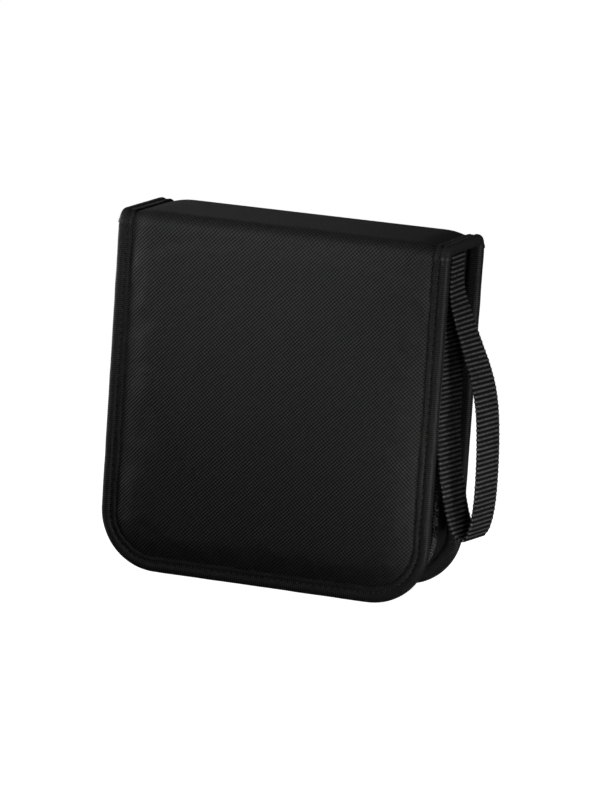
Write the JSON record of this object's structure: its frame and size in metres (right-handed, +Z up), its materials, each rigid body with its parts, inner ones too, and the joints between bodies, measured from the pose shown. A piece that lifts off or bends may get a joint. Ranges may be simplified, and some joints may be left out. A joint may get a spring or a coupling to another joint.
{
  "type": "cd storage case",
  "caption": "Zipped book-type wallet for discs in black nylon, with bound edges, a zip round three sides, sleeves on the spine and a webbing wrist loop.",
  "frame": {"origin": "middle of the bounding box's bottom face; the fore edge of the case rests on Z = 0", "axes": "+X along the spine towards the wrist strap, +Y from the front cover to the back cover, +Z up to the spine"},
  "size_m": [0.1738, 0.0544, 0.162],
  "materials": {
    "twill": "black nylon twill, satin",
    "foam_board": "black foam board",
    "lining": "black plain lining cloth",
    "binding": "black ribbed binding tape",
    "zip_tape": "black zip tape",
    "coil": "black nylon coil",
    "slider_metal": "black plated zinc",
    "webbing": "black coarse webbing",
    "sleeve": "clear film on black backing cloth"
  },
  "bodies": {
    "front_cover": {"front_cover_skin": "twill", "front_cover_board": "foam_board", "front_cover_lining": "lining", "front_binding": "binding", "front_zip_tape": "zip_tape", "front_zip_coil": "coil"},
    "back_cover": {"back_cover_skin": "twill", "back_cover_board": "foam_board", "back_cover_lining": "lining", "back_binding": "binding", "back_zip_tape": "zip_tape", "back_zip_coil": "coil"},
    "spine": {"spine_skin": "twill", "spine_board": "foam_board", "spine_lining": "lining", "spine_binding_left": "binding", "spine_binding_right": "binding", "zip_end_left": "zip_tape", "zip_end_right": "zip_tape", "sleeve_anchor": "lining", "sleeve_pages": "sleeve", "wrist_strap": "webbing"},
    "slider": {"zip_slider": "slider_metal"},
    "pull": {"zip_pull": "slider_metal"}
  },
  "joints": [
    {"name": "front_cover_fold", "type": "hinge", "parent": "spine", "child": "front_cover", "pos_m": [-0.00939, -0.0272, 0.15585], "axis": [-1, 0, 0], "range_deg": [0, 120]},
    {"name": "back_cover_fold", "type": "hinge", "parent": "spine", "child": "back_cover", "pos_m": [-0.00939, 0.0272, 0.15585], "axis": [1, 0, 0], "range_deg": [0, 120]},
    {"name": "zip_slider_run", "type": "slide", "parent": "spine", "child": "slider", "axis": [0, 0, 1], "range_m": [-0.11, 0]},
    {"name": "zip_pull_swing", "type": "hinge", "parent": "slider", "child": "pull", "pos_m": [-0.08404, 0, 0.14465], "axis": [0, 1, 0], "range_deg": [0, 120]}
  ]
}
